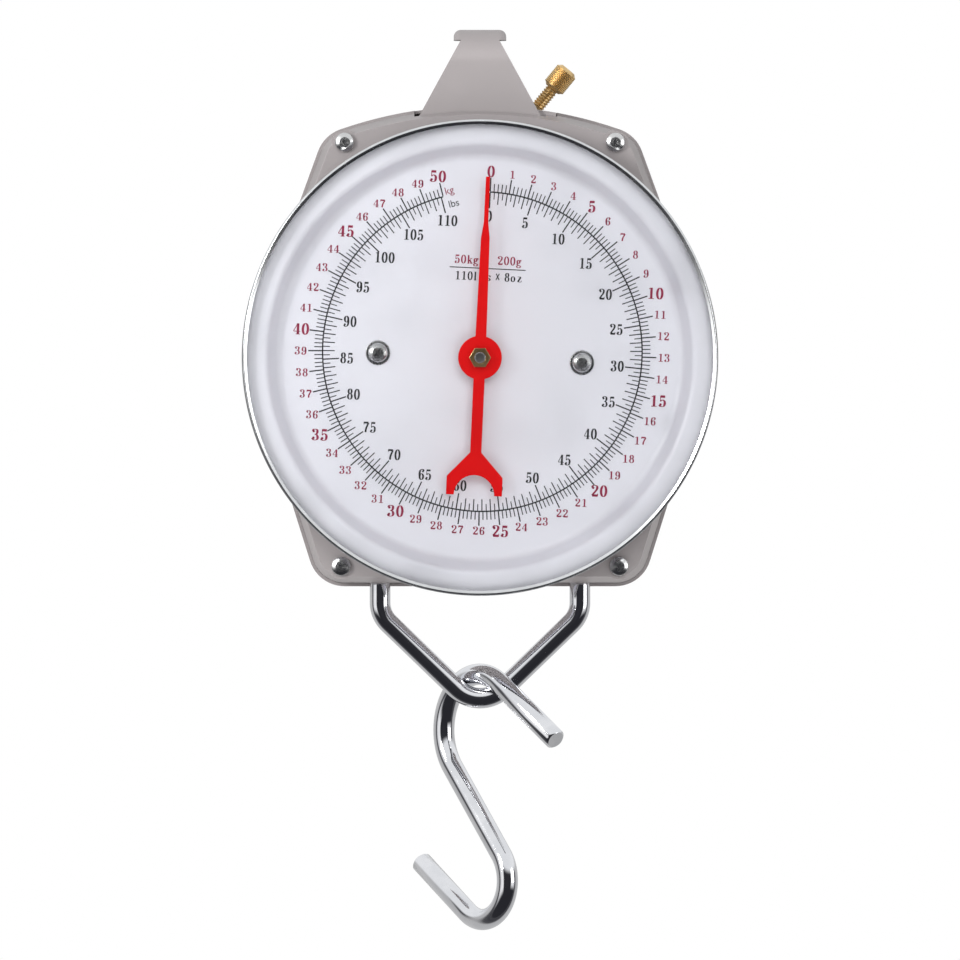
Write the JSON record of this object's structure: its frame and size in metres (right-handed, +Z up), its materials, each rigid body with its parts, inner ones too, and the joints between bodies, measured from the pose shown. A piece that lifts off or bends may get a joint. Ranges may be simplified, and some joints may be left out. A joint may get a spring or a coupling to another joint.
{
  "type": "hanging spring scale",
  "caption": "Hanging dial spring scale: grey pressed case, white dial behind a glass, red pointer, brass zero screw, chrome load loop and S-hook.",
  "frame": {"origin": "underside of the hanger's crest, on its centre line, where the scale hangs", "axes": "+X to the reader's right, the dial faces -Y, +Z up"},
  "size_m": [0.17, 0.0634, 0.3225],
  "materials": {
    "case_paint": "satin warm grey paint",
    "chrome": "bright plated",
    "white_enamel": "gloss white enamel with a printed scale",
    "red_paint": "gloss red enamel",
    "brass": "turned and knurled",
    "zinc_steel": "zinc plated",
    "spring_steel": "oiled spring steel",
    "glass": "clear",
    "rubber": "black",
    "nylon": "natural nylon"
  },
  "bodies": {
    "case": {"front_case": "case_paint", "back_case": "case_paint", "corner_pillars": "zinc_steel", "case_screws": "chrome", "hanger_frame": "case_paint", "frame_spacers": "zinc_steel", "frame_rivets": "zinc_steel", "spring_anchor_pins": "zinc_steel", "dial_standoffs": "brass", "zero_bridge": "case_paint", "zero_bush": "brass", "zero_lever_pivot": "zinc_steel", "zero_lever_spacers": "zinc_steel", "dial_pan": "white_enamel", "dial_screws": "chrome", "dial_washers": "chrome", "bezel_ring": "chrome", "lens": "glass", "lens_gasket": "rubber", "front_bearing": "brass", "rear_bearing": "brass", "rack_guide": "nylon", "loop_guide_bushes": "nylon", "travel_stops": "rubber"},
    "load": {"yoke_front_strip": "zinc_steel", "yoke_back_strip": "zinc_steel", "loop_pins": "zinc_steel", "spring_pins": "zinc_steel", "rack_pin": "zinc_steel", "rack_spacers": "zinc_steel", "tare_pin": "zinc_steel", "rack": "brass", "left_main_spring": "spring_steel", "right_main_spring": "spring_steel", "tare_spring": "spring_steel", "load_loop": "chrome"},
    "pointer": {"pinion_shaft": "zinc_steel", "pinion_gear": "brass", "pointer": "red_paint", "pointer_hub": "brass", "pointer_nut": "brass", "shaft_collars": "brass"},
    "zero_pad": {"zero_pad": "zinc_steel"},
    "zero_screw": {"zero_screw": "brass", "zero_knob": "brass"},
    "zero_lever": {"zero_lever": "zinc_steel"},
    "hook": {"s_hook": "chrome"}
  },
  "joints": [
    {"name": "load_slide", "type": "slide", "parent": "case", "child": "load", "axis": [0, 0, -1], "range_m": [0, 0.02514], "stiffness_N_per_m": 19500, "springref_m": -0.00015, "deforming": ["left_main_spring", "right_main_spring", "tare_spring"]},
    {"name": "pointer_turn", "type": "hinge", "parent": "case", "child": "pointer", "pos_m": [0, 0, -0.1156], "axis": [0, 1, 0], "range_deg": [0, 345]},
    {"name": "hook_swing", "type": "hinge", "parent": "load", "child": "hook", "pos_m": [0, 0, -0.24905], "axis": [-0.766, -0.6428, 0], "range_deg": [-30, 30]},
    {"name": "zero_feed", "type": "slide", "parent": "case", "child": "zero_pad", "axis": [0.6374, 0, 0.7705], "range_m": [-0.00199, 0.00199]},
    {"name": "zero_knob_turn", "type": "hinge", "parent": "zero_pad", "child": "zero_screw", "pos_m": [0.0216, 0, -0.0244], "axis": [0.6374, 0, 0.7705], "range_deg": [-900, 900]},
    {"name": "zero_lever_tilt", "type": "hinge", "parent": "case", "child": "zero_lever", "pos_m": [0.01515, 0, -0.05086], "axis": [0, 1, 0], "range_deg": [-11, 11]}
  ],
  "couplings": [
    {"joint": "pointer_turn", "follows": "load_slide", "rad_per_m": 238.1},
    {"joint": "zero_knob_turn", "follows": "zero_feed", "rad_per_m": 7854},
    {"joint": "zero_lever_tilt", "follows": "zero_feed", "rad_per_m": 84.034}
  ]
}
